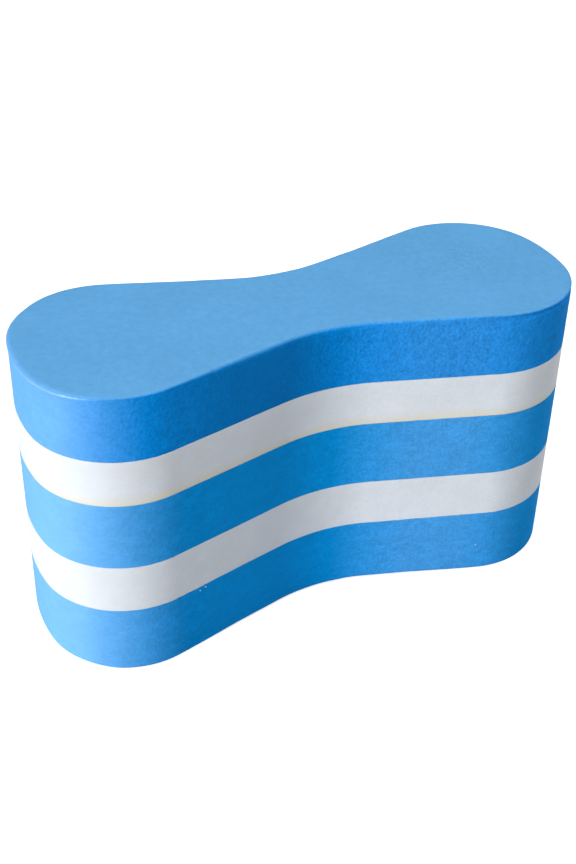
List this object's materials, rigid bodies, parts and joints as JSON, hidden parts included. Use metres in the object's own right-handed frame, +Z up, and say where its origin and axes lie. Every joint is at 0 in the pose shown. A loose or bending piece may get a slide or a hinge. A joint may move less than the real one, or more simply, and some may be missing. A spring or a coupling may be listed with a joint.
{
  "type": "pull buoy",
  "caption": "Hourglass-shaped swim buoy of blue and white closed-cell foam sheets glued in a stack, with flat faces and waisted sides for the thighs to grip.",
  "frame": {"origin": "middle of the underside, on the surface that the buoy stands on", "axes": "+X along the length through both lobes, +Y across the waist, +Z up through the stack of sheets"},
  "size_m": [0.24, 0.0892, 0.1329],
  "materials": {
    "blue_foam": "matte closed-cell EVA foam, fine-grained where it is cut, smooth and slightly satin where it is skinned",
    "white_foam": "matte closed-cell EVA foam, fine-grained cut walls, slightly yellowed along the seams",
    "glue": "dried contact adhesive, satin, pale yellow"
  },
  "bodies": {
    "root": {"bottom_blue_layer": "blue_foam", "lower_white_layer": "white_foam", "middle_blue_layer": "blue_foam", "upper_white_layer": "white_foam", "top_blue_layer": "blue_foam", "glue_film_1": "glue", "glue_film_2": "glue", "glue_film_3": "glue", "glue_film_4": "glue"}
  },
  "joints": []
}
